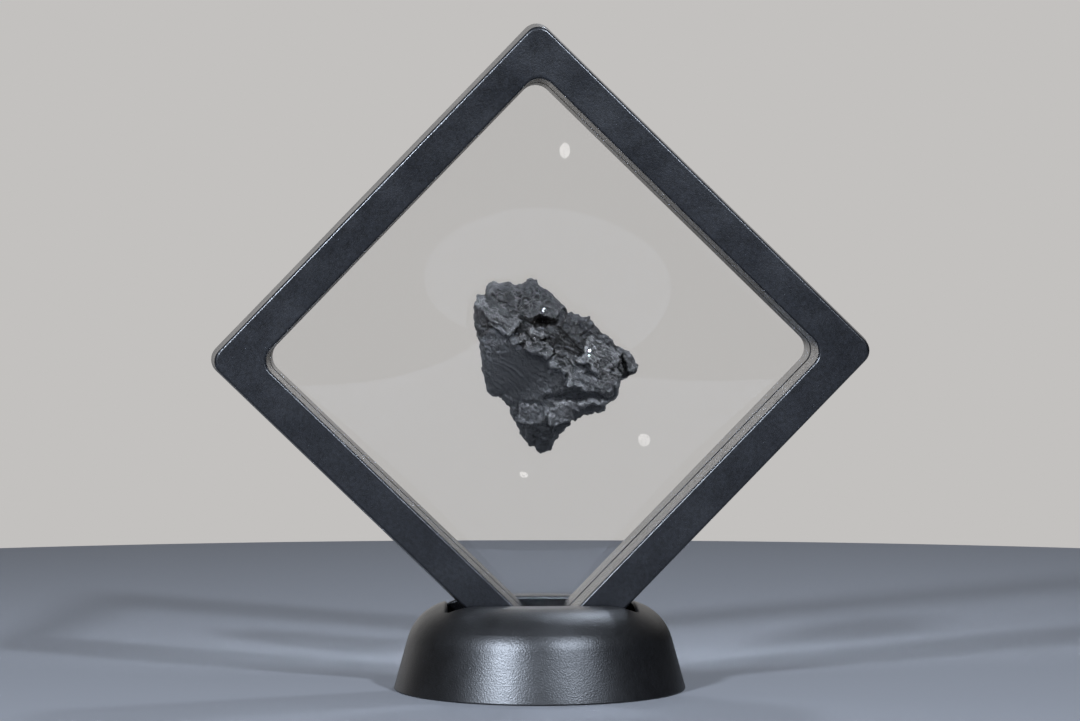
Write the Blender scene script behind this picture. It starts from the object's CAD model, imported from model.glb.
"""An iron meteorite held between two clear films in a square display frame.

The frame stands on one corner in the slot of a round stand. Metres, +Z up, the
front is -Y. Run it as a script: it adds every piece, the floor, the lights and
the camera.
"""

import math

import bmesh
import bpy
import numpy as np
from bpy.props import FloatProperty, FloatVectorProperty, IntProperty, PointerProperty
from mathutils import Euler, Matrix, Vector, noise


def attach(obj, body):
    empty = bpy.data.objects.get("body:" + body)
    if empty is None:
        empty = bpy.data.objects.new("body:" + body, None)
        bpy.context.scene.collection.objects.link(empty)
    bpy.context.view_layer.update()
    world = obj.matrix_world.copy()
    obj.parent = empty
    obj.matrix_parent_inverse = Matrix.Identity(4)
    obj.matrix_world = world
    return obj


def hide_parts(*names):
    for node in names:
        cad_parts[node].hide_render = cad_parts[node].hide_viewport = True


bl_info = {
    "name": "Framed Iron Meteorite",
    "version": (1, 0, 0),
    "blender": (4, 5, 0),
    "location": "View3D > Sidebar > Meteorite",
    "description": "Adds an iron meteorite in a clear film display frame on a round stand",
    "category": "Add Mesh",
}

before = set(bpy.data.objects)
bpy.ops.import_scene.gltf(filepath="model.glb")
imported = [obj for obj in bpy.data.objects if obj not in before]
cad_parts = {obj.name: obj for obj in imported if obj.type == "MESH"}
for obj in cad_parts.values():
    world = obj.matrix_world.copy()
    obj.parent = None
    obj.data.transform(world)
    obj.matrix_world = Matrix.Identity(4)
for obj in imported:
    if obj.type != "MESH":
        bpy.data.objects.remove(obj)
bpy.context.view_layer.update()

MM = 0.001
BODY = "root"

# Places closer together than this are the same place.
TOUCH = 0.01 * MM

# Where the display frame hangs: its centre, and its lean and roll.
FRAME_CENTRE = (0.0, -0.0026, 0.06355)
FRAME_LEAN = math.radians(2.7)
FRAME_ROLL = math.radians(-1.0)

# Meteorite, in millimetres from the frame's centre (across, up).
SPECIMEN_CENTRE = (1.0, -1.5)
SPECIMEN_OUTLINE = [
    (-10.5, 12.7), (-10.2, 13.4), (-9.4, 14.0), (-8.7, 13.7), (-8.3, 13.4), (-7.2, 13.5),
    (-6.2, 13.7), (-4.8, 13.2), (-3.8, 13.2), (-3.2, 13.9), (-2.2, 14.2), (-0.9, 14.1),
    (-0.7, 13.3), (-0.1, 12.7), (1.1, 12.2), (2.2, 11.1), (3.4, 9.8), (4.3, 8.9),
    (5.0, 7.8), (5.8, 7.9), (6.7, 7.4), (7.9, 7.0), (9.0, 7.0), (9.7, 6.0),
    (10.5, 5.2), (11.3, 4.2), (12.3, 3.6), (13.6, 2.4), (15.1, 1.0), (16.9, 0.3),
    (17.7, -0.9), (18.3, -2.3), (18.2, -3.3), (17.3, -4.0), (15.2, -5.1), (15.1, -6.2),
    (14.7, -6.6), (14.6, -7.8), (13.8, -8.9), (12.4, -9.6), (12.1, -10.8), (10.3, -11.2),
    (8.8, -11.5), (7.0, -12.2), (5.5, -13.1), (3.9, -14.8), (2.7, -16.4), (2.2, -17.6),
    (1.8, -18.5), (-0.1, -18.8), (-0.8, -18.1), (-1.1, -17.5), (-2.2, -17.5), (-3.7, -16.0),
    (-4.2, -15.3), (-4.1, -14.6), (-5.0, -12.8), (-5.6, -11.8), (-5.8, -10.3), (-7.5, -8.6),
    (-8.0, -8.0), (-9.3, -8.0), (-10.3, -7.0), (-10.7, -5.4), (-11.2, -3.1), (-11.4, -0.4),
    (-11.8, 1.7), (-12.3, 3.7), (-12.7, 5.2), (-12.7, 9.8), (-12.2, 11.2), (-10.6, 11.4),
]
OUTLINE_CORNERS = [(x - SPECIMEN_CENTRE[0], z - SPECIMEN_CENTRE[1]) for x, z in SPECIMEN_OUTLINE]
OUTLINE_SIDES = list(zip(OUTLINE_CORNERS, OUTLINE_CORNERS[1:] + OUTLINE_CORNERS[:1]))

# Front relief, laid one on the other like flakes: name, place (across, up),
# half length, half width, turn in degrees, height of its middle above the
# frame's mid-plane, rise along its length, rise across it, and how pale its
# iron is.
FLAKES = [
    ("crumbled_top", -3.2, 11.6, 5.6, 2.2, -6.0, 3.6, 0.0, -0.25, 0.8),
    ("knob", -9.4, 13.0, 1.2, 1.1, 0.0, 3.6, 0.0, 0.0, 1.1),
    ("upper_left_plate", -8.3, 7.6, 4.4, 2.2, -48.0, 5.0, 0.1, -0.25, 1.8),
    ("upper_ridge", -1.1, 8.4, 4.8, 1.5, -6.0, 4.7, 0.0, -0.3, 1.0),
    ("upper_right_slope", 7.5, 4.7, 5.0, 2.6, -40.0, 3.9, 0.0, -0.3, 0.45),
    ("small_tongue", -1.3, 4.2, 1.9, 0.8, -48.0, 5.1, 0.0, 0.0, 2.1),
    ("left_ledge", -3.9, 3.0, 2.2, 0.8, 8.0, 4.7, 0.0, -0.3, 1.4),
    ("wedge_flake", -0.5, 1.1, 2.7, 1.6, -20.0, 5.6, 0.0, -0.2, 1.4),
    ("granular_upper", 5.0, -1.6, 3.2, 2.2, -22.0, 5.2, 0.0, -0.22, 1.4),
    ("granular_right", 11.8, -1.6, 4.9, 2.7, -35.0, 4.9, -0.10, -0.22, 2.6),
    ("right_tip", 16.2, -2.2, 1.9, 1.9, -40.0, 2.9, 0.0, -0.1, 1.7),
    ("granular_lower", 8.9, -5.5, 4.3, 1.5, -12.0, 5.6, 0.0, -0.18, 1.6),
    ("lower_band", 8.0, -9.3, 5.8, 0.8, 5.0, 3.9, 0.0, -0.35, 2.4),
    ("light_facet", 3.4, -11.4, 2.6, 2.0, 20.0, 4.4, 0.0, -0.25, 1.9),
    ("lower_left_lump", -1.9, -11.6, 2.4, 2.0, -15.0, 4.3, 0.0, -0.2, 1.1),
    ("small_ridge", 0.6, -11.4, 1.7, 0.4, 90.0, 4.9, 0.0, 0.0, 1.5),
    ("bottom_tip", -0.4, -15.9, 2.6, 2.5, 0.0, 2.9, 0.0, 0.55, 0.15),
]

# Hollows cut into it: name, place, half length, half width, turn, depth.
HOLLOWS = [
    ("dark_hollow", 0.6, 6.5, 2.3, 0.8, 4.0, 2.2),
    ("long_groove", 8.4, -7.9, 5.8, 0.8, 0.0, 2.6),
    ("small_pit", 7.7, -2.2, 1.1, 0.6, -20.0, 1.6),
    ("tip_crack", 15.9, -2.6, 1.7, 0.5, -53.0, 1.3),
]

# The same for the back, which the photograph doesn't show.
BACK_FLAKES = [
    ("back_plate", -4.5, 4.5, 5.5, 3.2, 35.0, 4.9, 0.0, -0.15, 1.2),
    ("back_step", 7.0, -2.0, 6.0, 3.0, -30.0, 4.4, -0.1, 0.15, 1.1),
    ("back_lump", -0.5, -11.0, 3.0, 2.6, 10.0, 3.9, 0.0, 0.1, 0.9),
]
BACK_HOLLOWS = [
    ("back_thumbprint", 0.5, -3.5, 3.4, 2.2, 20.0, 1.5),
    ("back_side_print", -8.0, -1.5, 2.2, 3.0, 10.0, 1.2),
    ("back_small_print", 10.5, 1.0, 2.8, 1.6, -35.0, 1.2),
    ("back_low_print", -1.5, -8.0, 2.2, 1.5, -15.0, 1.1),
    ("back_groove", 1.5, 7.5, 3.8, 1.0, -50.0, 1.5),
]

# Oval patches of the front: place, half length, half width and turn.
SMOOTH_HOLLOW = (-5.8, -3.6, 6.0, 4.6, 0.0)
CURLED_PATCH = (-3.6, 11.6, 4.6, 2.8, 0.0)
LEDGE_PATCH = (12.0, 1.0, 6.5, 3.2, -36.0)

# How wide a flake's edge is, and how much the front rises with each millimetre
# upwards.
FLAKE_EDGE = 0.45
FLOOR_RISE = 0.13

# The stone's rim: how closely the mesh crowds there, how square it is, how far
# and how often its outline jumps, and how soon it calms down at the smooth
# hollow. The ceiling is the greatest depth of either face.
RIM_CROWDING = 1.3
RIM_SHARPNESS = 5.0
RIM_JAG = 0.35
RIM_JAG_PACE = 14.0
RIM_CALM = 2.5
STONE_CEILING = 6.0

# Broken edges wander by slow and quick noise: its pace in waves a millimetre,
# and how far it moves them in millimetres.
SLOW_PACE = 0.35
SLOW_DRIFT = 0.9
QUICK_PACE = 1.3
QUICK_DRIFT = 0.3

# Relief of each kind. Turns are in degrees, heights, spacing and the curls'
# bend in millimetres, paces in waves a millimetre. A plate's edge is a share of
# the plate, and the ledges wander by a share of their spacing.
PLATE_TURN = -32.0
PLATE_EDGE = 0.12
STREAK_TURN = -38.0
STREAK_HEIGHT = 0.16
STREAK_BEND = 0.05
LEDGE_SPACING = 1.0
LEDGE_HEIGHT = 0.38
LEDGE_WANDER = 1.2
CRUMPLE_PACE = 0.42
CRUMPLE_HEIGHT = 0.22
CURL_PACE = 0.8
CURL_BEND = 1.4
CURL_HEIGHT = 1.1

# How rough the back and the ledges are, as a share of the front's open parts,
# and how much of the broken crust the smooth hollow lacks.
BACK_ROUGHNESS = 0.8
LEDGE_CALM = 0.5
SMOOTH_CALM = 0.8

# How pale the iron is where no flake lies and in the smooth hollow, and how
# much darker it is in the hollows.
OPEN_TONE = 0.8
SMOOTH_TONE = 0.22
HOLLOW_SHADE = 0.55

# Faces of the starting sphere that lie before this get a finer mesh.
FINE_FRONT = -0.27

# Wear is how far a point stands out of its neighbours, near and far, counted
# in edges of the mesh, and the height in millimetres that turns black to bare.
NEAR_REACH = 3
WEAR_REACH = 24
WEAR_HEIGHT = 0.58

# Fixes the stone's random relief, so that it comes out the same every time.
RELIEF_SEED = 23

# Frame: how far a film's seat reaches into the bars, the rounding of the
# parting edges, and the outer strip where those edges lie.
SEAT_REACH = 3.9 * MM
PARTING_ROUND = 0.12 * MM
PARTING_STRIP = 1.5 * MM

# Moulds: how rough their polished walls leave the plastic, how polished the
# outer walls are, and how far from upright a polished wall may be.
POLISHED_ROUGHNESS = 0.2
OUTER_POLISH = 0.05
WALL_TILT = 0.15

# Sizes of the patterns on the plastics and on the iron.
CLOUD_SIZE = 9.0 * MM
SPECK_SIZE = 0.7 * MM
MOTTLE_SIZE = 1.6 * MM
GRIT_SIZE = 0.26 * MM
GRIT_HEIGHT = 0.08 * MM

# Steps round a corner of the frame, and how often a film is relaxed.
CORNER_STEPS = 8
FILM_RELAXATIONS = 3000

# Stand: steps round it, rows up its side, how they crowd upwards and how far
# inside the foot and outside the shoulder they start and end, rows over its
# top, steps over the slot's lip and the foot's rounding, and rows up its hollow.
STAND_SEGMENTS = 360
SIDE_ROWS = 26
SIDE_CROWDING = 1.35
SIDE_FOOT = 1.0 * MM
SIDE_TOP = 0.7 * MM
TOP_ROWS = 14
LIP_STEPS = 6
FOOT_STEPS = 3
FOOT_ROUND = 0.35 * MM
HOLLOW_ROWS = 5

# Camera: where the photograph was taken from, in metres and degrees.
CAMERA_LENS = 86.17
CAMERA_PLACE = (-0.0208, -0.4926, 0.0602)
CAMERA_TURN = 2.4
CAMERA_RISE = 0.245

# Lamps: name, compass angle (0 is the front, 90 the right) and height angle in
# degrees, distance, diameter, how strongly each lights a surface that faces it,
# in watts a square metre, and whether it glints through the films.
LAMPS = [
    ("left_lamp", -35.0, 27.0, 0.75, 0.07, 4.1, False),
    ("right_lamp", 27.0, 34.0, 0.75, 0.05, 3.2, False),
    ("top_softbox", 12.0, 70.0, 0.65, 0.22, 0.1, False),
    ("back_lamp", 150.0, 56.0, 0.70, 0.08, 1.1, False),
    ("left_glint", -35.0, 31.0, 0.75, 0.05, 0.2, True),
]
LAMP_AIM = (0.0, 0.0, 0.03)

# Bright spots of the room, seen only mirrored in the films: compass angle, height
# angle, half length, half width and turn, all in degrees, and brightness.
SPOTS = [
    (-5.5, 2.4, 0.68, 0.33, -40.0, 7.5),
    (5.0, 5.5, 0.52, 0.48, 0.0, 8.5),
]

# How much brighter than it looks the wall shines on the pieces.
WALL_GLOW = 1.4


def linear(hex_colour):
    """A linear colour from an sRGB hex value."""
    def channel(text):
        value = int(text, 16) / 255.0
        return value / 12.92 if value <= 0.04045 else ((value + 0.055) / 1.055) ** 2.4
    return (channel(hex_colour[0:2]), channel(hex_colour[2:4]), channel(hex_colour[4:6]))


def length(name, description, default):
    return FloatProperty(name=name, description=description, default=default, min=0.0,
                         unit="LENGTH", precision=5)


def angle(name, description, default):
    return FloatProperty(name=name, description=description, default=math.radians(default),
                         subtype="ANGLE")


def colour(name, description, hex_colour):
    return FloatVectorProperty(name=name, description=description, size=3, min=0.0, max=1.0,
                               subtype="COLOR", default=linear(hex_colour))


class MeteoriteSettings(bpy.types.PropertyGroup):
    fineness: IntProperty(name="Fineness", description="Subdivisions of the stone's mesh",
                          default=7, min=4, max=7)
    front_floor: length("Front floor", "Depth of the front where no flake lies", 0.0034)
    back_floor: length("Back floor", "Depth of the back where no flake lies", 0.0036)
    plate_size: length("Plate size", "Width of one broken plate", 0.0026)
    plate_step: length("Plate step", "Height between neighbouring plates", 0.0010)
    chip_size: length("Chip size", "Width of one chipped facet", 0.0009)
    chip_step: length("Chip step", "Height between neighbouring facets", 0.00031)
    grain_size: length("Grain size", "Width of one grain of the crust", 0.00042)
    grain_step: length("Grain step", "Height of one grain of the crust", 0.00014)
    iron: colour("Iron", "Weathered iron on open faces", "1A1918")
    crevice: colour("Crevice", "Iron in cracks and hollows", "060606")
    worn: colour("Worn edge", "Bare metal on edges and glints", "2F2E2D")


class FrameSettings(bpy.types.PropertyGroup):
    side: length("Side", "Width of the square frame at its parting line", 0.090)
    depth: length("Depth", "Depth of both halves together", 0.020)
    bar_width: length("Bar width", "Width of one bar on its face", 0.0066)
    outer_taper: length("Outer taper", "How far the outer walls lean in", 0.0011)
    inner_taper: length("Inner taper", "How far the window's walls lean", 0.00008)
    outer_radius: length("Outer corner", "Radius of the outer corners", 0.0030)
    inner_radius: length("Inner corner", "Radius of the window's corners", 0.0032)
    edge_round: length("Edge rounding", "Width of the rounded face edges", 0.0006)
    parting_gap: length("Parting gap", "Gap between the two halves", 0.0003)
    film_seat: length("Film seat", "Depth of the seat that clamps a film", 0.0008)
    plastic: colour("Frame plastic", "Matte black moulded plastic", "111215")


class FilmSettings(bpy.types.PropertyGroup):
    cells: IntProperty(name="Cells", description="Grid cells along one side of a film", default=120)
    thickness: length("Thickness", "Thickness of one film", 0.00012)
    half_space: length("Half space", "Half the space between the films at the seat", 0.0002)
    margin: length("Margin", "How far a film reaches into its seat", 0.0034)
    stone_gap: length("Stone gap", "Space left between film and stone", 0.00018)
    tint: colour("Film", "Clear elastic film", "FEFEFE")


class StandSettings(bpy.types.PropertyGroup):
    offset: FloatProperty(name="Offset", description="The stand's axis, across from the frame's",
                          default=-0.0002, unit="LENGTH", precision=5)
    radius: length("Radius", "Radius of the foot", 0.0278)
    height: length("Height", "Height of the stand", 0.0165)
    side_lean: angle("Side lean", "How far the side leans in", 15.5)
    shoulder: length("Shoulder", "Radius of the rounded shoulder", 0.0095)
    wall: length("Wall", "Thickness of the moulded shell", 0.002)
    slot_length: length("Slot length", "Length of the slot", 0.0352)
    slot_width: length("Slot width", "Width of the slot", 0.0213)
    slot_corner: length("Slot corner", "Radius of the slot's corners", 0.0008)
    slot_floor: length("Slot floor", "Thickness of the slot's floor", 0.0009)
    slot_wall: length("Slot wall", "Thickness of the slot's walls", 0.0016)
    lip: length("Lip", "Radius of the slot's rounded lip", 0.0007)
    plastic: colour("Stand plastic", "Satin black moulded plastic", "070708")


class StageSettings(bpy.types.PropertyGroup):
    floor_radius: length("Floor radius", "Radius of the pale table", 0.43)
    floor: colour("Floor", "Pale matte paper", "757679")
    wall: colour("Wall", "Pale studio wall", "C3C1BF")
    room: FloatProperty(name="Room", default=0.13, min=0.0, max=1.0,
                        description="Brightness of the room in front, as a share of the wall's")
    lamp: colour("Lamp", "Cool daylight of the lamps", "E1EDFF")


def linear4(value):
    return (value[0], value[1], value[2], 1.0)


def new_primitive():
    """Deselects all that is there, so that the next primitive stands alone."""
    bpy.ops.object.select_all(action="DESELECT")


def edit(piece):
    bpy.context.view_layer.objects.active = piece
    bpy.ops.object.mode_set(mode="EDIT")


def leave_edit():
    bpy.ops.object.mode_set(mode="OBJECT")


def turn_of(point):
    return math.atan2(point[1], point[0])


def polar(reach, turn, height):
    return Vector((reach * math.cos(turn), reach * math.sin(turn), height))


def place_ring(piece, places):
    """Moves the selected ring of vertices onto places, matched by their turn."""
    mesh = bmesh.from_edit_mesh(piece.data)
    ring = sorted((vert for vert in mesh.verts if vert.select), key=lambda vert: turn_of(vert.co))
    for vert, place in zip(ring, sorted(places, key=turn_of)):
        vert.co = place
    bmesh.update_edit_mesh(piece.data)


def grow_ring(piece, places):
    """Extrudes the selected ring of edges and moves the new ring onto places."""
    bpy.ops.mesh.extrude_edges_move()
    place_ring(piece, places)


def select_edges(piece, test, least_bend=0.0):
    """Selects the edges that bend by least_bend or more and whose two ends pass the test."""
    bpy.ops.mesh.select_all(action="DESELECT")
    bpy.context.tool_settings.mesh_select_mode = (False, True, False)
    mesh = bmesh.from_edit_mesh(piece.data)
    for edge in mesh.edges:
        edge.select = (all(test(vert.co) for vert in edge.verts)
                       and edge.calc_face_angle(math.pi) >= least_bend)
    mesh.select_flush_mode()
    bmesh.update_edit_mesh(piece.data)


def level_test(height):
    """A test for places at a height, closer than one can see."""
    return lambda place: abs(place.z - height) < TOUCH


def close_mesh():
    """Merges doubles and turns every face outwards."""
    bpy.ops.mesh.select_all(action="SELECT")
    bpy.ops.mesh.remove_doubles(threshold=TOUCH)
    bpy.ops.mesh.normals_make_consistent(inside=False)


def smooth_by_area(piece, sharp_angle):
    """Smooth shading whose flat faces stay flat up to their rounded edges."""
    bpy.ops.object.select_all(action="DESELECT")
    piece.select_set(True)
    bpy.context.view_layer.objects.active = piece
    bpy.ops.object.shade_smooth_by_angle(angle=sharp_angle)
    weighted = piece.modifiers.new("even_shading", "WEIGHTED_NORMAL")
    weighted.keep_sharp = True
    weighted.weight = 100
    bpy.ops.object.modifier_apply(modifier=weighted.name)


def hand_over(piece, name, place, material, slot, *nodes):
    """Puts a finished piece in the row's frame and says what it stands for."""
    piece.data.transform(place)
    piece.name = name
    piece.data.name = name
    piece.data.materials.clear()
    piece.data.materials.append(material)
    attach(piece, BODY)
    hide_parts(*nodes)


def frame_place():
    """From the display frame's own axes to the row's."""
    turned = Euler((FRAME_LEAN, FRAME_ROLL, 0.0), "YXZ").to_matrix().to_4x4()
    return Matrix.Translation(FRAME_CENTRE) @ turned


def specimen_place():
    """From the stone's own axes to the row's: it leans, but isn't rolled."""
    return Matrix.Translation(FRAME_CENTRE) @ Matrix.Rotation(FRAME_LEAN, 4, "X")


def bench_place(side):
    """From the bench, where a half lies with its face up, to the frame.

    The bench's square stands on one corner in the frame. side is -1 for the
    front half and 1 for the back half.
    """
    eighth = math.radians(45.0)
    across = -side * Vector((math.cos(eighth), 0.0, -side * math.sin(eighth)))
    up = Vector((side * math.cos(eighth), 0.0, math.sin(eighth)))
    out = Vector((0.0, side, 0.0))
    return Matrix((across, up, out)).transposed().to_4x4()


def outline_reach(turn):
    """Distance from the stone's centre to its outline in a direction."""
    dx, dz = math.cos(turn), math.sin(turn)
    best = 0.0
    for (ax, az), (bx, bz) in OUTLINE_SIDES:
        side_a = dx * az - dz * ax
        side_b = dx * bz - dz * bx
        if side_a * side_b > 0.0 or side_a == side_b:
            continue
        share = side_a / (side_a - side_b)
        best = max(best, dx * (ax + share * (bx - ax)) + dz * (az + share * (bz - az)))
    return best


def turned_place(x, z, place, turn):
    """A place in the axes of a patch: along it and across it."""
    turned = math.radians(turn)
    along = (x - place[0]) * math.cos(turned) + (z - place[1]) * math.sin(turned)
    across = -(x - place[0]) * math.sin(turned) + (z - place[1]) * math.cos(turned)
    return along, across


def eased(share):
    """A share held between 0 and 1, with soft ends."""
    share = min(1.0, max(0.0, share))
    return share * share * (3.0 - 2.0 * share)


def flake_share(x, z, patch):
    """1 on a blocky flake and 0 off it, with the place along and across the flake."""
    *place, long, wide, turn = patch
    along, across = turned_place(x, z, place, turn)
    outside = max(abs(along) - long, abs(across) - wide)
    return eased(0.5 - outside / FLAKE_EDGE), along, across


def patch_share(x, z, patch):
    """1 in the middle of an oval patch, 0 away from it."""
    *place, long, wide, turn = patch
    along, across = turned_place(x, z, place, turn)
    return eased(1.5 - math.hypot(along / long, across / wide))


def relief(x, z, floor, flakes, hollows):
    """Height over the mid-plane: blocky flakes laid on, then round hollows cut in."""
    height = floor
    for _, *patch, top, rise_along, rise_across, _ in flakes:
        share, along, across = flake_share(x, z, patch)
        height += share * (top + rise_along * along + rise_across * across - height)
    for _, *patch, depth in hollows:
        height -= patch_share(x, z, patch) * depth
    return height


def warped(x, z):
    """A place moved by slow and quick noise, so that broken edges wander.

    Here and below, the last number of a noise place only picks a layer of
    noise of its own.
    """
    slow = noise.noise_vector(Vector((x, z, 0.0)) * SLOW_PACE)
    quick = noise.noise_vector(Vector((x, z, 5.0)) * QUICK_PACE)
    return (x + SLOW_DRIFT * slow.x + QUICK_DRIFT * quick.x,
            z + SLOW_DRIFT * slow.y + QUICK_DRIFT * quick.y)


def facet(place, size, edge):
    """Height from -1 to 1 of the broken facet that a place lies on.

    Each facet is a tilted plane with its own height, and meets the next one
    in a ledge; edge is the ledge's width as a share of the facet. Noise at a
    multiple of the facet's middle is the same all over the facet.
    """
    at = place / size
    distances, points = noise.voronoi(at)
    heights = []
    for point in points[:2]:
        own = noise.cell_vector(point * 31.7)
        tilt = noise.cell_vector(point * 17.3 + Vector((5.0, 9.0, 2.0)))
        heights.append(own.x - 0.5 + (at - point).dot(tilt - Vector((0.5, 0.5, 0.5))))
    clear = min(1.0, (distances[1] - distances[0]) / edge)
    return heights[0] * (0.5 + 0.5 * clear) + heights[1] * (0.5 - 0.5 * clear)


def stone_tone(x, z, side):
    """How pale the iron is at a place; each flake weathered to its own grey."""
    wx, wz = warped(x, z)
    tone = OPEN_TONE
    for _, *patch, _, _, _, own in FLAKES if side < 0.0 else BACK_FLAKES:
        tone += flake_share(wx, wz, patch)[0] * (own - tone)
    if side < 0.0:
        tone += patch_share(x, z, SMOOTH_HOLLOW) * (SMOOTH_TONE - tone)
    for _, *patch, _ in HOLLOWS if side < 0.0 else BACK_HOLLOWS:
        tone *= 1.0 - HOLLOW_SHADE * patch_share(wx, wz, patch)
    return tone


def stepped(x, z):
    """Height of the thin parallel ledges along the right rim, in mm."""
    along, across = turned_place(x, z, LEDGE_PATCH[:2], LEDGE_PATCH[-1])
    wander = noise.noise(Vector((along * 0.25, across * 0.5, 7.0)))
    at = across / LEDGE_SPACING + LEDGE_WANDER * wander
    return LEDGE_HEIGHT * (at - math.floor(at))


def streaked(x, z):
    """Height of the flow lines in the smooth hollow, in mm."""
    along, across = turned_place(x, z, SMOOTH_HOLLOW[:2], STREAK_TURN)
    bend = STREAK_BEND * along * along
    place = Vector((along * 0.12, (across + bend) * 1.1, 2.0))
    return STREAK_HEIGHT * (1.0 - 2.2 * abs(noise.noise(place))) * (
        0.5 + noise.noise(Vector((x, z, 8.0)) * 0.4))


def curled(x, z):
    """Height of the curled crests of the crumbled top, in mm."""
    bend = noise.noise_vector(Vector((x, z, 3.0)) * 0.55)
    place = Vector((x + CURL_BEND * bend.x, z + CURL_BEND * bend.y, 11.0))
    crest = noise.noise(place * CURL_PACE)
    return CURL_HEIGHT * (0.25 - min(0.5, 2.0 * abs(crest)))


def crumpled(x, z, side):
    """Height of the crumpled crust, in mm: creases that branch and fade."""
    place = Vector((x, z, 4.0 * side))
    coarse = noise.ridged_multi_fractal(place * CRUMPLE_PACE, 0.9, 2.2, 3, 1.0, 2.0)
    fine = noise.noise(place * 1.9)
    return CRUMPLE_HEIGHT * (coarse - 1.2) + 0.35 * CRUMPLE_HEIGHT * fine


def stone_height(settings, x, z, side):
    """Height of the stone's face over its mid-plane, before its rim, in mm.

    side is -1 for the front and 1 for the back.
    """
    wx, wz = warped(x, z)
    if side < 0.0:
        floor = settings.front_floor / MM + FLOOR_RISE * (z - SPECIMEN_CENTRE[1])
        height = relief(wx, wz, floor, FLAKES, HOLLOWS)
        smooth = patch_share(x, z, SMOOTH_HOLLOW)
        ledges = patch_share(x, z, LEDGE_PATCH)
        curls = patch_share(x, z, CURLED_PATCH)
        height += ledges * stepped(x, z) + curls * curled(x, z) + smooth * streaked(x, z)
        rough = (1.0 - smooth) * (1.0 - LEDGE_CALM * ledges)
    else:
        height = relief(wx, wz, settings.back_floor / MM, BACK_FLAKES, BACK_HOLLOWS)
        rough = BACK_ROUGHNESS
    along, across = turned_place(wx, wz, SPECIMEN_CENTRE, PLATE_TURN)
    place = Vector((along * 0.55, across, 3.0 * side))
    plate = settings.plate_step / MM * facet(place, settings.plate_size / MM, PLATE_EDGE)
    return height + rough * plate + rough * crumpled(x, z, side)


def stone_point(settings, place):
    """A point of the unit sphere carried to the stone's surface, in mm."""
    turn = math.atan2(place.z, place.x)
    share = math.sqrt(max(0.0, 1.0 - abs(place.y) ** RIM_CROWDING))
    rim = outline_reach(turn)
    calm = patch_share(SPECIMEN_CENTRE[0] + rim * math.cos(turn),
                       SPECIMEN_CENTRE[1] + rim * math.sin(turn), SMOOTH_HOLLOW)
    around = Vector((math.cos(turn), 0.0, math.sin(turn))) * RIM_JAG_PACE
    rim += RIM_JAG * noise.noise(around) * (1.0 - min(1.0, RIM_CALM * calm))
    reach = rim * share
    x = SPECIMEN_CENTRE[0] + reach * math.cos(turn)
    z = SPECIMEN_CENTRE[1] + reach * math.sin(turn)
    side = math.copysign(1.0, place.y)
    return Vector((x, side * rounded_height(settings, x, z, side, share), z))


def rounded_height(settings, x, z, side, share):
    """Height of the stone's face with its rim; share is 0 in its middle and 1 at its outline."""
    fullness = math.sqrt(max(0.0, 1.0 - share ** RIM_SHARPNESS))
    return min(stone_height(settings, x, z, side), STONE_CEILING) * fullness


def chipped(settings, co):
    """How far the broken crust stands out at a place, in mm."""
    rough = 1.0 - SMOOTH_CALM * patch_share(co.x, co.z, SMOOTH_HOLLOW) * (co.y < 0.0)
    wander = 0.35 * noise.noise_vector(co * 1.1)
    along, across = turned_place(co.x + wander.x, co.z + wander.z, SPECIMEN_CENTRE, PLATE_TURN)
    place = Vector((along * 0.7, across, co.y + wander.y))
    out = settings.chip_step / MM * facet(place, settings.chip_size / MM, 0.2)
    out += settings.grain_step / MM * facet(place, settings.grain_size / MM, 0.4)
    return out * rough


def add_node(tree, kind, inputs=None, **settings):
    """Adds a node: inputs gives each socket a value, or the socket it is fed by."""
    made = tree.nodes.new(kind)
    for name, value in settings.items():
        setattr(made, name, value)
    for key, value in (inputs or {}).items():
        if isinstance(value, bpy.types.NodeSocket):
            tree.links.new(value, made.inputs[key])
        else:
            made.inputs[key].default_value = value
    return made


def new_material(name):
    """An empty node material, its tree, and the place on the piece that patterns read."""
    material = bpy.data.materials.new(name)
    material.use_nodes = True
    tree = material.node_tree
    tree.nodes.clear()
    place = add_node(tree, "ShaderNodeTexCoord").outputs["Object"]
    return material, tree, place


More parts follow.
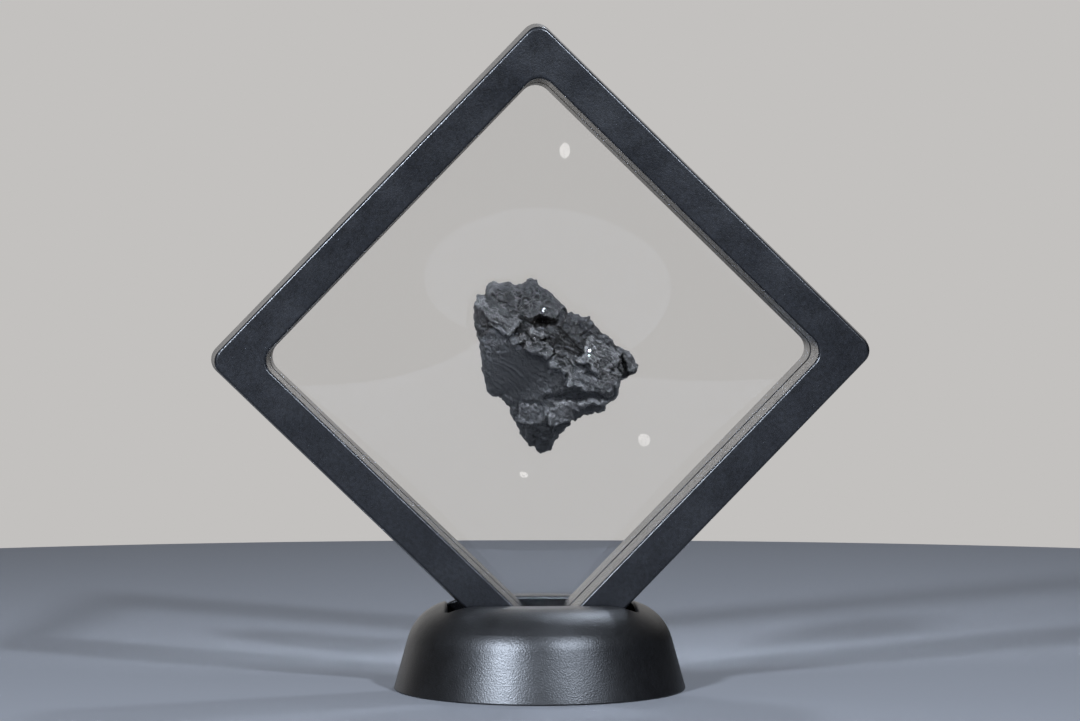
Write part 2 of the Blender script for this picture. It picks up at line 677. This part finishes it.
def moulded_plastic(name, plastic, roughness, ior, grain, bump):
    """Black polystyrene, injected into a fine-sparked steel mould.

    The sparked grain turns a mirror shine into a soft one, and handling leaves
    it with paler rubbed specks. The mould's side walls are polished, so that
    the part draws out, and the piece's polish attribute is 1 there. The real
    grain is too fine to show, so it is drawn as coarse as it needs to show.
    """
    material, tree, place = new_material(name)
    polish = add_node(tree, "ShaderNodeAttribute", attribute_name="polish").outputs["Fac"]
    clouds = add_node(tree, "ShaderNodeTexNoise", {
        "Vector": place, "Scale": 1.0 / CLOUD_SIZE, "Detail": 5.0,
        "Roughness": 0.6}).outputs["Fac"]
    specks = add_node(tree, "ShaderNodeTexNoise", {
        "Vector": place, "Scale": 1.0 / SPECK_SIZE, "Detail": 4.0,
        "Roughness": 0.7}).outputs["Fac"]
    sparks = add_node(tree, "ShaderNodeTexNoise", {
        "Vector": place, "Scale": 1.0 / grain, "Detail": 2.0,
        "Roughness": 0.55}).outputs["Fac"]
    clouded = add_node(tree, "ShaderNodeMapRange", {
        "Value": clouds, "From Min": 0.3, "From Max": 0.7,
        "To Min": 0.85, "To Max": 1.2}).outputs["Result"]
    rubbed = add_node(tree, "ShaderNodeMapRange", {
        "Value": specks, "From Min": 0.35, "From Max": 0.7,
        "To Min": 0.5, "To Max": 2.0}).outputs["Result"]
    shade = add_node(tree, "ShaderNodeMath", {0: clouded, 1: rubbed},
                     operation="MULTIPLY").outputs["Value"]
    base = add_node(tree, "ShaderNodeMix", {
        "Factor": 1.0, "A": linear4(plastic), "B": shade},
        data_type="RGBA", blend_type="MULTIPLY").outputs["Result"]
    shine = add_node(tree, "ShaderNodeMapRange", {
        "Value": clouds, "From Min": 0.3, "From Max": 0.7,
        "To Min": roughness - 0.05, "To Max": roughness + 0.06}).outputs["Result"]
    walls = add_node(tree, "ShaderNodeMix", {
        "Factor": polish, "A": shine, "B": POLISHED_ROUGHNESS}).outputs["Result"]
    grainy = add_node(tree, "ShaderNodeBump", {
        "Strength": bump, "Distance": 0.25 * grain, "Height": sparks}).outputs["Normal"]
    shader = add_node(tree, "ShaderNodeBsdfPrincipled", {
        "Base Color": base, "Roughness": walls, "IOR": ior, "Normal": grainy})
    add_node(tree, "ShaderNodeOutputMaterial", {"Surface": shader.outputs[0]})
    return material


def clear_film(tint):
    """Polyurethane film, cast thin and clear, and stretched over the stone.

    It is glossy. Real film hardly bends light, so lamps shine straight through
    this one instead of casting its shadow.
    """
    material, tree, _ = new_material("clear_stretch_film")
    shader = add_node(tree, "ShaderNodeBsdfPrincipled", {
        "Base Color": linear4(tint), "Roughness": 0.0, "IOR": 1.41,
        "Transmission Weight": 1.0})
    path = add_node(tree, "ShaderNodeLightPath")
    clear = add_node(tree, "ShaderNodeBsdfTransparent")
    lit_through = add_node(tree, "ShaderNodeMixShader", {
        0: path.outputs["Is Shadow Ray"], 1: shader.outputs[0], 2: clear.outputs[0]})
    add_node(tree, "ShaderNodeOutputMaterial", {"Surface": lit_through.outputs[0]})
    return material


def weathered_iron(settings):
    """Weathered meteoritic iron: charcoal oxide, black in the cracks, greyer on edges.

    It broke along its own crystals and rusted slowly in the ground, so its
    skin is matte and gritty, with a weak metal sheen. The finest grit can't be
    seen, so it is drawn as coarse as it needs to show.
    """
    material, tree, place = new_material("weathered_meteorite_iron")
    wear = add_node(tree, "ShaderNodeAttribute", attribute_name="wear").outputs["Fac"]
    tone = add_node(tree, "ShaderNodeAttribute", attribute_name="tone").outputs["Fac"]
    mottle = add_node(tree, "ShaderNodeTexNoise", {
        "Vector": place, "Scale": 1.0 / MOTTLE_SIZE, "Detail": 6.0,
        "Roughness": 0.6}).outputs["Fac"]
    grit = add_node(tree, "ShaderNodeTexNoise", {
        "Vector": place, "Scale": 1.0 / GRIT_SIZE, "Detail": 3.0,
        "Roughness": 0.65}).outputs["Fac"]
    deep = add_node(tree, "ShaderNodeMapRange", {
        "Value": wear, "From Min": 0.05, "From Max": 0.5}).outputs["Result"]
    bare = add_node(tree, "ShaderNodeMapRange", {
        "Value": wear, "From Min": 0.55, "From Max": 1.0}).outputs["Result"]
    body = add_node(tree, "ShaderNodeMix", {
        "Factor": deep, "A": linear4(settings.crevice), "B": linear4(settings.iron)},
        data_type="RGBA").outputs["Result"]
    edged = add_node(tree, "ShaderNodeMix", {
        "Factor": bare, "A": body, "B": linear4(settings.worn)},
        data_type="RGBA").outputs["Result"]
    mottled = add_node(tree, "ShaderNodeMapRange", {
        "Value": mottle, "From Min": 0.3, "From Max": 0.7,
        "To Min": 0.75, "To Max": 1.25}).outputs["Result"]
    speckled = add_node(tree, "ShaderNodeMapRange", {
        "Value": grit, "From Min": 0.35, "From Max": 0.75,
        "To Min": 0.45, "To Max": 1.75}).outputs["Result"]
    shade = add_node(tree, "ShaderNodeMath", {0: mottled, 1: speckled},
                     operation="MULTIPLY").outputs["Value"]
    own = add_node(tree, "ShaderNodeMath", {0: shade, 1: tone},
                   operation="MULTIPLY").outputs["Value"]
    base = add_node(tree, "ShaderNodeMix", {"Factor": 1.0, "A": edged, "B": own},
                    data_type="RGBA", blend_type="MULTIPLY").outputs["Result"]
    shine = add_node(tree, "ShaderNodeMapRange", {
        "Value": grit, "From Min": 0.3, "From Max": 0.7,
        "To Min": 0.42, "To Max": 0.62}).outputs["Result"]
    gritty = add_node(tree, "ShaderNodeBump", {
        "Strength": 0.8, "Distance": GRIT_HEIGHT, "Height": grit}).outputs["Normal"]
    shader = add_node(tree, "ShaderNodeBsdfPrincipled", {
        "Base Color": base, "Roughness": shine, "Specular IOR Level": 0.12,
        "Normal": gritty})
    add_node(tree, "ShaderNodeOutputMaterial", {"Surface": shader.outputs[0]})
    return material


def plain_paper(name, shade):
    """Matte uncoated studio paper off a roll, the same all over."""
    material, tree, _ = new_material(name)
    shader = add_node(tree, "ShaderNodeBsdfPrincipled", {
        "Base Color": linear4(shade), "Roughness": 0.9, "Specular IOR Level": 0.2})
    add_node(tree, "ShaderNodeOutputMaterial", {"Surface": shader.outputs[0]})
    return material


def mark_wear(mesh):
    """Stores how far each point stands out of its surroundings, and its tone.

    Wear is 0 in cracks and 1 on edges. Tone is how pale the iron is.
    """
    mesh.verts.index_update()
    count = len(mesh.verts)
    heights = np.array([vert.co for vert in mesh.verts])
    normals = np.array([vert.normal for vert in mesh.verts])
    ends = np.array([[edge.verts[0].index, edge.verts[1].index] for edge in mesh.edges])
    degree = np.bincount(ends.ravel(), minlength=count)[:, None]
    soft = heights.copy()
    standing = np.zeros(count)
    for step in range(1, WEAR_REACH + 1):
        total = np.zeros_like(soft)
        np.add.at(total, ends[:, 0], soft[ends[:, 1]])
        np.add.at(total, ends[:, 1], soft[ends[:, 0]])
        soft = total / degree
        if step in (NEAR_REACH, WEAR_REACH):
            standing += ((heights - soft) * normals).sum(axis=1)
    share = np.clip(0.5 + standing / WEAR_HEIGHT, 0.0, 1.0)
    wear = mesh.verts.layers.float.new("wear")
    tone = mesh.verts.layers.float.new("tone")
    for vert, value in zip(mesh.verts, share):
        vert[wear] = float(value)
        vert[tone] = stone_tone(vert.co.x, vert.co.z, math.copysign(1.0, vert.co.y))


class MESH_OT_add_meteorite(bpy.types.Operator):
    """Adds the iron meteorite"""

    bl_idname = "mesh.add_framed_meteorite"
    bl_label = "Meteorite"

    def execute(self, context):
        settings = context.scene.meteorite_settings
        noise.seed_set(RELIEF_SEED)
        new_primitive()
        bpy.ops.mesh.primitive_ico_sphere_add(subdivisions=settings.fineness, radius=1.0)
        stone = context.active_object
        edit(stone)
        context.tool_settings.mesh_select_mode = (False, False, True)
        mesh = bmesh.from_edit_mesh(stone.data)
        for face in mesh.faces:
            face.select = face.calc_center_median().y < FINE_FRONT
        mesh.select_flush_mode()
        bmesh.update_edit_mesh(stone.data)
        bpy.ops.mesh.subdivide(number_cuts=1)
        leave_edit()
        mesh = bmesh.new()
        mesh.from_mesh(stone.data)
        for vert in mesh.verts:
            vert.co = stone_point(settings, vert.co.normalized())
        mesh.normal_update()
        moved = [chipped(settings, vert.co) for vert in mesh.verts]
        for vert, out in zip(mesh.verts, moved):
            vert.co += vert.normal * out
        mesh.normal_update()
        mark_wear(mesh)
        for vert in mesh.verts:
            vert.co *= MM
        bmesh.ops.recalc_face_normals(mesh, faces=mesh.faces)
        mesh.to_mesh(stone.data)
        mesh.free()
        stone.data.shade_smooth()
        hand_over(stone, "iron_meteorite", specimen_place(), weathered_iron(settings),
                  "meteorite_iron", "meteorite")
        return {"FINISHED"}


def square_ring(half, radius, height):
    """A square with rounded corners, flat on the bench."""
    places = []
    reach = (half - radius) * math.sqrt(2.0)
    for corner in range(4):
        quarter = math.radians(90.0 * corner + 45.0)
        for step in range(CORNER_STEPS + 1):
            turn = math.radians(90.0 * (corner + step / CORNER_STEPS))
            places.append(Vector((reach * math.cos(quarter) + radius * math.cos(turn),
                                  reach * math.sin(quarter) + radius * math.sin(turn), height)))
    return places


def window_half(settings, height):
    """Half the window's width at a height over the parting plane."""
    face = settings.depth / 2.0
    face_half = settings.side / 2.0 - settings.outer_taper - settings.bar_width
    return face_half - settings.inner_taper * (1.0 - height / face)


def frame_sections(settings):
    """Half width, corner radius and height of each ring round one half's section."""
    face = settings.depth / 2.0
    land = settings.parting_gap / 2.0
    wide = settings.side / 2.0
    seat_half = window_half(settings, 0.0) + SEAT_REACH
    return [
        (wide, settings.outer_radius, land),
        (seat_half, settings.inner_radius, land),
        (seat_half, settings.inner_radius, settings.film_seat),
        (window_half(settings, settings.film_seat), settings.inner_radius, settings.film_seat),
        (window_half(settings, face), settings.inner_radius, face),
        (wide - settings.outer_taper, settings.outer_radius - settings.outer_taper / 4.0, face),
        (wide, settings.outer_radius, land),
    ]


def mark_polish(piece):
    """Stores how far the mould was polished: 1 on the window's or slot's walls, less outside."""
    polish = piece.data.attributes.new("polish", "FLOAT", "CORNER")
    for face in piece.data.polygons:
        inside = face.normal.dot(Vector((face.center.x, face.center.y, 0.0))) < 0.0
        share = 1.0 if inside else OUTER_POLISH
        if abs(face.normal.z) > WALL_TILT:
            share = 0.0
        for corner in face.loop_indices:
            polish.data[corner].value = share


def model_frame_half(settings):
    """One half of the frame, face up on the bench: a ring grown round its own section."""
    sections = frame_sections(settings)
    new_primitive()
    bpy.ops.mesh.primitive_plane_add(size=settings.side)
    half = bpy.context.active_object
    edit(half)
    bpy.ops.mesh.bevel(offset=settings.outer_radius, segments=CORNER_STEPS, affect="VERTICES")
    bpy.ops.mesh.delete(type="ONLY_FACE")
    bpy.ops.mesh.select_all(action="SELECT")
    place_ring(half, square_ring(*sections[0]))
    for section in sections[1:]:
        grow_ring(half, square_ring(*section))
    close_mesh()
    select_edges(half, level_test(settings.depth / 2.0), math.radians(45.0))
    bpy.ops.mesh.bevel(offset=settings.edge_round, segments=4, affect="EDGES")
    rim = settings.side / 2.0 - PARTING_STRIP
    parting = level_test(settings.parting_gap / 2.0)
    select_edges(half, lambda place: parting(place) and max(abs(place.x), abs(place.y)) > rim,
                 math.radians(45.0))
    bpy.ops.mesh.bevel(offset=PARTING_ROUND, segments=2, affect="EDGES")
    leave_edit()
    smooth_by_area(half, math.radians(28.0))
    mark_polish(half)
    return half


class MESH_OT_add_frame(bpy.types.Operator):
    """Adds the two halves of the square display frame"""

    bl_idname = "mesh.add_display_frame"
    bl_label = "Display Frame"

    def execute(self, context):
        settings = context.scene.frame_settings
        plastic = moulded_plastic("black_moulded_polystyrene", settings.plastic,
                                  roughness=0.32, ior=1.59, grain=0.35 * MM, bump=0.5)
        front = model_frame_half(settings)
        back = front.copy()
        back.data = front.data.copy()
        context.scene.collection.objects.link(back)
        hand_over(front, "frame_half_front", frame_place() @ bench_place(-1), plastic,
                  "frame_plastic", "frame_front")
        hand_over(back, "frame_half_back", frame_place() @ bench_place(1), plastic,
                  "frame_plastic", "frame_back")
        return {"FINISHED"}


def stone_under_film(stone, side, places):
    """Height of the stone's face under each place of a film, 0 beside the stone."""
    unrolled = Matrix.Rotation(FRAME_ROLL, 3, "Y")
    heights = np.zeros(len(places))
    for index, place in enumerate(places):
        own = unrolled @ Vector((place.x, 0.0, place.z)) / MM
        dx, dz = own.x - SPECIMEN_CENTRE[0], own.z - SPECIMEN_CENTRE[1]
        share = math.hypot(dx, dz) / outline_reach(math.atan2(dz, dx))
        if share < 1.0:
            heights[index] = rounded_height(stone, own.x, own.z, side, share) * MM
    return heights


def model_film(settings, stone, window, side):
    """A clear film pulled over the stone, face up on the bench.

    The sheet is relaxed like a soap film: each point moves to the mean of its
    neighbours, but no lower than the stone, and its edge stays in the seat.
    """
    reach = window + settings.margin
    cells = settings.cells
    new_primitive()
    bpy.ops.mesh.primitive_grid_add(x_subdivisions=cells, y_subdivisions=cells,
                                    size=2.0 * reach)
    film = bpy.context.active_object
    bench = bench_place(side)
    verts = sorted(film.data.vertices, key=lambda vert: (round(vert.co.y, 6), vert.co.x))
    rows = (cells + 1, cells + 1)
    under = stone_under_film(stone, side, [bench @ vert.co for vert in verts]).reshape(rows)
    line = np.linspace(-reach, reach, cells + 1)
    across, up = np.meshgrid(line, line)
    free = np.maximum(abs(across), abs(up)) < window
    floor = np.where(under > 0.0, under + settings.stone_gap, settings.half_space)
    floor = np.maximum(floor, settings.half_space)
    lifted = floor.copy()
    for _ in range(FILM_RELAXATIONS):
        mean = 0.25 * (lifted[:-2, 1:-1] + lifted[2:, 1:-1]
                       + lifted[1:-1, :-2] + lifted[1:-1, 2:])
        lifted[1:-1, 1:-1] = np.where(free[1:-1, 1:-1], np.maximum(floor[1:-1, 1:-1], mean),
                                      settings.half_space)
    for vert, height in zip(verts, lifted.ravel()):
        vert.co.z = height
    wall = film.modifiers.new("thickness", "SOLIDIFY")
    wall.thickness = settings.thickness
    wall.offset = 1.0
    bpy.ops.object.modifier_apply(modifier=wall.name)
    film.data.shade_smooth()
    return film


class MESH_OT_add_films(bpy.types.Operator):
    """Adds the two clear films that hold the stone"""

    bl_idname = "mesh.add_clear_films"
    bl_label = "Clear Films"

    def execute(self, context):
        settings = context.scene.film_settings
        noise.seed_set(RELIEF_SEED)
        window = window_half(context.scene.frame_settings, 0.0)
        clear = clear_film(settings.tint)
        for name, node, side in (("clear_film_front", "film_front", -1),
                                 ("clear_film_back", "film_back", 1)):
            film = model_film(settings, context.scene.meteorite_settings, window, side)
            hand_over(film, name, frame_place() @ bench_place(side), clear, "clear_film", node)
        return {"FINISHED"}


def slot_reach(turn, half_length, half_width, corner):
    """Distance from the axis to a rounded slot's edge in a direction."""
    dx, dy = abs(math.cos(turn)), abs(math.sin(turn))
    reach = min(half_length / max(dx, 1e-9), half_width / max(dy, 1e-9))
    middle_x, middle_y = half_length - corner, half_width - corner
    if reach * dx > middle_x and reach * dy > middle_y:
        along = dx * middle_x + dy * middle_y
        off = middle_x ** 2 + middle_y ** 2 - corner ** 2
        reach = along + math.sqrt(max(0.0, along ** 2 - off))
    return reach


def dome_height(settings, inset, reach):
    """Height of the stand's skin over the table; inset moves the skin inwards."""
    lean = settings.side_lean
    shoulder = settings.shoulder - inset
    tangent = settings.shoulder * math.tan((math.pi / 2.0 - lean) / 2.0)
    middle = settings.radius - settings.height * math.tan(lean) - tangent
    base = settings.height - settings.shoulder
    if reach <= middle:
        return settings.height - inset
    if reach <= middle + shoulder * math.cos(lean):
        return base + math.sqrt(shoulder ** 2 - (reach - middle) ** 2)
    foot = settings.radius - inset / math.cos(lean)
    return (foot - reach) / math.tan(lean)


def stand_turns():
    return [2.0 * math.pi * (step + 0.5) / STAND_SEGMENTS for step in range(STAND_SEGMENTS)]


def round_ring(reach, height):
    return [polar(reach, turn, height) for turn in stand_turns()]


def slot_ring(settings, grow, height_of):
    """A ring along the slot's edge, grown outwards; height_of gives its height by reach."""
    places = []
    for turn in stand_turns():
        reach = slot_reach(turn, settings.slot_length / 2.0 + grow,
                           settings.slot_width / 2.0 + grow, settings.slot_corner + grow)
        places.append(polar(reach, turn, height_of(reach)))
    return places


def outer_rings(settings):
    """Rings from the foot up the side, over the shoulder and down into the slot."""
    rings = []
    shoulder_reach = settings.radius - settings.height * math.tan(settings.side_lean)
    for step in range(FOOT_STEPS + 1):
        share = math.radians(90.0) * step / FOOT_STEPS
        lift = FOOT_ROUND * (1.0 - math.cos(share))
        inward = FOOT_ROUND * (1.0 - math.sin(share))
        rings.append(round_ring(settings.radius - lift * math.tan(settings.side_lean) - inward,
                                lift))
    top = shoulder_reach + SIDE_TOP
    low = settings.radius - SIDE_FOOT
    for step in range(SIDE_ROWS + 1):
        reach = low + (top - low) * (step / SIDE_ROWS) ** SIDE_CROWDING
        rings.append(round_ring(reach, dome_height(settings, 0.0, reach)))
    lip = slot_ring(settings, settings.lip, lambda reach: dome_height(settings, 0.0, reach))
    for row in range(1, TOP_ROWS):
        ring = []
        for edge in lip:
            reach = top + (math.hypot(edge.x, edge.y) - top) * (row / TOP_ROWS)
            ring.append(polar(reach, turn_of(edge), dome_height(settings, 0.0, reach)))
        rings.append(ring)
    for step in range(LIP_STEPS + 1):
        share = math.radians(90.0) * step / LIP_STEPS
        grow = settings.lip * (1.0 - math.sin(share))
        drop = settings.lip * (1.0 - math.cos(share))
        rings.append(slot_ring(settings, grow, lambda reach, drop=drop:
                               dome_height(settings, 0.0, reach) - drop))
    rings.append(slot_ring(settings, 0.0, lambda reach: settings.slot_floor))
    return rings


def inner_rings(settings):
    """Rings from the foot up the hollow and down round the slot's box."""
    wall = settings.wall
    lean = settings.side_lean
    rings = []
    foot = settings.radius - wall / math.cos(lean)
    shoulder_reach = settings.radius - settings.height * math.tan(lean)
    top = shoulder_reach - wall
    for step in range(HOLLOW_ROWS + 1):
        reach = foot + (top - foot) * step / HOLLOW_ROWS
        rings.append(round_ring(reach, max(0.0, dome_height(settings, wall, reach))))
    box = settings.slot_wall
    rings.append(slot_ring(settings, box, lambda reach: dome_height(settings, wall, reach)))
    rings.append(slot_ring(settings, box, lambda reach: 0.0))
    return rings


class MESH_OT_add_stand(bpy.types.Operator):
    """Adds the round slotted stand"""

    bl_idname = "mesh.add_round_stand"
    bl_label = "Round Stand"

    def execute(self, context):
        settings = context.scene.stand_settings
        new_primitive()
        bpy.ops.mesh.primitive_circle_add(vertices=STAND_SEGMENTS, radius=settings.radius)
        stand = context.active_object
        edit(stand)
        bpy.context.tool_settings.mesh_select_mode = (True, False, False)
        bpy.ops.mesh.select_all(action="SELECT")
        rings = outer_rings(settings)
        place_ring(stand, rings[0])
        for ring in rings[1:]:
            grow_ring(stand, ring)
        bpy.ops.mesh.edge_face_add()
        foot = math.hypot(rings[0][0].x, rings[0][0].y)
        select_edges(stand, lambda place: abs(place.z) < 0.1 * TOUCH
                     and abs(math.hypot(place.x, place.y) - foot) < 0.1 * TOUCH)
        for ring in inner_rings(settings):
            grow_ring(stand, ring)
        bpy.ops.mesh.edge_face_add()
        close_mesh()
        leave_edit()
        smooth_by_area(stand, math.radians(35.0))
        mark_polish(stand)
        plastic = moulded_plastic("black_satin_polystyrene", settings.plastic,
                                  roughness=0.37, ior=1.62, grain=0.30 * MM, bump=0.6)
        hand_over(stand, "round_stand", Matrix.Translation((settings.offset, 0.0, 0.0)),
                  plastic, "stand_plastic", "stand")
        return {"FINISHED"}


def add_lamp(name, compass, rise, distance, diameter, strength, glints, tint):
    """A round lamp in a direction from the object, turned to face it."""
    compass, rise = math.radians(compass), math.radians(rise)
    away = Vector((math.sin(compass) * math.cos(rise), -math.cos(compass) * math.cos(rise),
                   math.sin(rise)))
    light = bpy.data.lights.new(name, "AREA")
    light.shape = "DISK"
    light.size = diameter
    light.energy = math.pi * strength * distance ** 2
    light.color = tint
    lamp = bpy.data.objects.new(name, light)
    lamp.location = Vector(LAMP_AIM) + away * distance
    lamp.rotation_euler = (-away).to_track_quat("-Z", "Y").to_euler()
    lamp.visible_camera = False
    lamp.visible_transmission = glints
    bpy.context.scene.collection.objects.link(lamp)


def room_spot(tree, place, compass, rise, long, wide, turn, glow):
    """How bright one oval spot of the room is in each direction."""
    turned = (Matrix.Rotation(math.radians(compass), 3, "Z")
              @ Matrix.Rotation(math.radians(-rise), 3, "X")
              @ Matrix.Rotation(math.radians(-turn), 3, "Y"))
    inside = add_node(tree, "ShaderNodeMapping", {
        "Vector": place, "Location": turned @ Vector((0.0, -1.0, 0.0)),
        "Rotation": turned.to_euler(),
        "Scale": (math.radians(long), 0.1, math.radians(wide))}, vector_type="TEXTURE")
    reach = add_node(tree, "ShaderNodeVectorMath", {0: inside.outputs["Vector"]},
                     operation="LENGTH").outputs["Value"]
    return add_node(tree, "ShaderNodeMapRange", {
        "Value": reach, "From Min": 1.15, "From Max": 0.85, "To Min": 0.0,
        "To Max": glow}, interpolation_type="SMOOTHSTEP").outputs["Result"]


def studio_wall(settings):
    """The studio round the object: a pale wall, and a dimmer room that only lights it.

    The eye sees the pale wall on every side, straight or through the film. The
    light that the pieces get comes bright from the wall behind them and dim
    from the room in front, and hardly any comes from the lower right.
    """
    world = bpy.data.worlds.new("studio_wall")
    world.use_nodes = True
    tree = world.node_tree
    tree.nodes.clear()
    place = add_node(tree, "ShaderNodeTexCoord").outputs["Generated"]
    way = add_node(tree, "ShaderNodeSeparateXYZ", {"Vector": place}).outputs
    behind = add_node(tree, "ShaderNodeMapRange", {
        "Value": way["Y"], "From Min": 0.5, "From Max": 1.0, "To Min": settings.room,
        "To Max": WALL_GLOW}, interpolation_type="SMOOTHSTEP").outputs["Result"]
    upper_left = add_node(tree, "ShaderNodeMath", {0: way["X"], 1: -0.5, 2: way["Z"]},
                          operation="MULTIPLY_ADD").outputs["Value"]
    above = add_node(tree, "ShaderNodeMapRange", {
        "Value": upper_left, "From Min": -0.2, "From Max": 0.2,
        "To Min": 0.03}, interpolation_type="SMOOTHSTEP").outputs["Result"]
    share = add_node(tree, "ShaderNodeMath", {0: behind, 1: above},
                     operation="MULTIPLY").outputs["Value"]
    for spot in SPOTS:
        share = add_node(tree, "ShaderNodeMath", {0: share, 1: room_spot(tree, place, *spot)},
                         operation="ADD").outputs["Value"]
    wall = linear4(settings.wall)
    seen = add_node(tree, "ShaderNodeBackground", {"Color": wall})
    lit = add_node(tree, "ShaderNodeBackground", {"Color": wall, "Strength": share})
    path = add_node(tree, "ShaderNodeLightPath").outputs
    bounces = add_node(tree, "ShaderNodeMath", {0: path["Diffuse Depth"],
                                                1: path["Glossy Depth"]},
                       operation="ADD").outputs["Value"]
    straight = add_node(tree, "ShaderNodeMath", {0: bounces, 1: 0.5},
                        operation="LESS_THAN").outputs["Value"]
    both = add_node(tree, "ShaderNodeMixShader", {
        0: straight, 1: lit.outputs[0], 2: seen.outputs[0]})
    add_node(tree, "ShaderNodeOutputWorld", {"Surface": both.outputs[0]})
    return world


class SCENE_OT_set_stage(bpy.types.Operator):
    """Adds the pale floor, the studio light and the camera"""

    bl_idname = "scene.set_meteorite_stage"
    bl_label = "Stage"

    def execute(self, context):
        settings = context.scene.stage_settings
        new_primitive()
        bpy.ops.mesh.primitive_circle_add(vertices=256, radius=settings.floor_radius,
                                          fill_type="NGON")
        table = context.active_object
        table.name = "studio_table"
        table.data.materials.append(plain_paper("pale_studio_paper", settings.floor))
        context.scene.world = studio_wall(settings)
        for lamp in LAMPS:
            add_lamp(*lamp, settings.lamp)
        camera = bpy.data.cameras.new("photo_camera")
        camera.lens = CAMERA_LENS
        camera.sensor_width = 36.0
        viewer = bpy.data.objects.new("photo_camera", camera)
        viewer.location = CAMERA_PLACE
        viewer.rotation_euler = (math.radians(90.0 + CAMERA_RISE), 0.0,
                                 math.radians(-CAMERA_TURN))
        context.scene.collection.objects.link(viewer)
        context.scene.camera = viewer
        context.scene.view_settings.view_transform = "Standard"
        return {"FINISHED"}


class VIEW3D_PT_framed_meteorite(bpy.types.Panel):
    """Lists the pieces and their sizes in the sidebar"""

    bl_idname = "VIEW3D_PT_framed_meteorite"
    bl_label = "Framed Meteorite"
    bl_space_type = "VIEW_3D"
    bl_region_type = "UI"
    bl_category = "Meteorite"

    def draw(self, context):
        for operator, name, group in PIECES:
            box = self.layout.box()
            box.operator(operator.bl_idname)
            for key in group.__annotations__:
                box.prop(getattr(context.scene, name), key)


PIECES = [
    (MESH_OT_add_meteorite, "meteorite_settings", MeteoriteSettings),
    (MESH_OT_add_frame, "frame_settings", FrameSettings),
    (MESH_OT_add_films, "film_settings", FilmSettings),
    (MESH_OT_add_stand, "stand_settings", StandSettings),
    (SCENE_OT_set_stage, "stage_settings", StageSettings),
]


def register():
    for operator, name, group in PIECES:
        bpy.utils.register_class(group)
        setattr(bpy.types.Scene, name, PointerProperty(type=group))
        bpy.utils.register_class(operator)
    bpy.utils.register_class(VIEW3D_PT_framed_meteorite)


def unregister():
    bpy.utils.unregister_class(VIEW3D_PT_framed_meteorite)
    for operator, name, group in reversed(PIECES):
        bpy.utils.unregister_class(operator)
        delattr(bpy.types.Scene, name)
        bpy.utils.unregister_class(group)


def main():
    register()
    bpy.ops.mesh.add_framed_meteorite()
    bpy.ops.mesh.add_display_frame()
    bpy.ops.mesh.add_clear_films()
    bpy.ops.mesh.add_round_stand()
    bpy.ops.scene.set_meteorite_stage()


if __name__ == "__main__":
    main()
